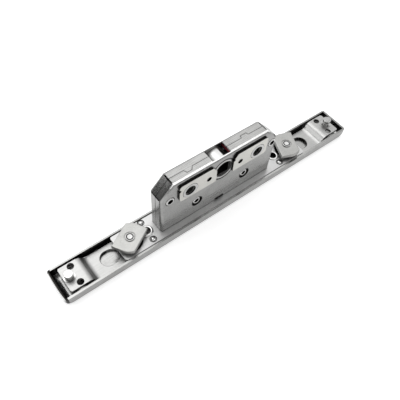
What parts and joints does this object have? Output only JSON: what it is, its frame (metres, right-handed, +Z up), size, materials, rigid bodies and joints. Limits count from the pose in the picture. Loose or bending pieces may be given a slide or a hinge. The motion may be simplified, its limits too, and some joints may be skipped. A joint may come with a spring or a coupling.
{
  "type": "sliding window lock",
  "caption": "Lock body for a sliding window: a handle spindle in a slim gear case drives two sliding bars in opposite directions along a channel faceplate.",
  "frame": {"origin": "centre of the outer face of the faceplate channel, at its underside, halfway between its ends", "axes": "+X along the faceplate towards the right end, +Y towards the back cheek of the case, +Z up from the faceplate towards the top of the case"},
  "size_m": [0.1914, 0.0192, 0.0415],
  "materials": {
    "sheet_steel": "polished stainless sheet",
    "case_steel": "brushed stainless sheet",
    "bar_steel": "polished stainless strip",
    "clamp_steel": "tumbled stainless plate",
    "cover_steel": "satin, slightly warm",
    "turned_steel": "turned",
    "rivet_steel": "bright rivet steel",
    "gear_steel": "bright sintered steel",
    "red_plastic": "dark red moulded plastic"
  },
  "bodies": {
    "lock_body": {"channel": "sheet_steel", "bridge_plate": "sheet_steel", "bridge_rivets": "rivet_steel", "fixing_bushes": "rivet_steel", "left_clamp_washer": "turned_steel", "right_clamp_washer": "turned_steel", "front_shell": "case_steel", "back_shell": "case_steel", "upper_case_rivets": "rivet_steel", "lower_case_rivets": "rivet_steel", "guide_sleeves": "turned_steel", "idler_pin": "turned_steel", "left_handle_plate": "cover_steel", "right_handle_plate": "cover_steel", "left_threaded_bush": "turned_steel", "right_threaded_bush": "turned_steel", "stop_pad": "red_plastic"},
    "hub": {"spindle_hub": "gear_steel"},
    "idler": {"idler_pinion": "gear_steel"},
    "right_slide": {"upper_rack": "gear_steel", "right_slide_bar": "bar_steel", "right_end_stud": "turned_steel"},
    "left_slide": {"lower_rack": "gear_steel", "left_slide_bar": "bar_steel", "left_end_stud": "turned_steel"},
    "left_clamp": {"left_clamp_plate": "clamp_steel", "left_clamp_screw": "turned_steel"},
    "right_clamp": {"right_clamp_plate": "clamp_steel", "right_clamp_screw": "turned_steel"}
  },
  "joints": [
    {"name": "hub_turn", "type": "hinge", "parent": "lock_body", "child": "hub", "pos_m": [0, 0, 0.0316], "axis": [0, 1, 0], "range_deg": [0, 90]},
    {"name": "idler_turn", "type": "hinge", "parent": "lock_body", "child": "idler", "pos_m": [0, 0, 0.0143], "axis": [0, 1, 0], "range_deg": [-126, 0]},
    {"name": "right_bar_slide", "type": "slide", "parent": "lock_body", "child": "right_slide", "axis": [1, 0, 0], "range_m": [-0.011, 0]},
    {"name": "left_bar_slide", "type": "slide", "parent": "lock_body", "child": "left_slide", "axis": [1, 0, 0], "range_m": [0, 0.011]},
    {"name": "left_clamp_turn", "type": "hinge", "parent": "lock_body", "child": "left_clamp", "pos_m": [-0.0537, 0, 0], "axis": [0, 0, 1], "range_deg": [-30, 60]},
    {"name": "right_clamp_turn", "type": "hinge", "parent": "lock_body", "child": "right_clamp", "pos_m": [0.0537, 0, 0], "axis": [0, 0, 1], "range_deg": [-67.7, 22.3]}
  ],
  "couplings": [
    {"joint": "idler_turn", "follows": "hub_turn", "ratio": -1.4},
    {"joint": "right_bar_slide", "follows": "hub_turn", "m_per_rad": -0.007},
    {"joint": "left_bar_slide", "follows": "hub_turn", "m_per_rad": 0.007}
  ]
}
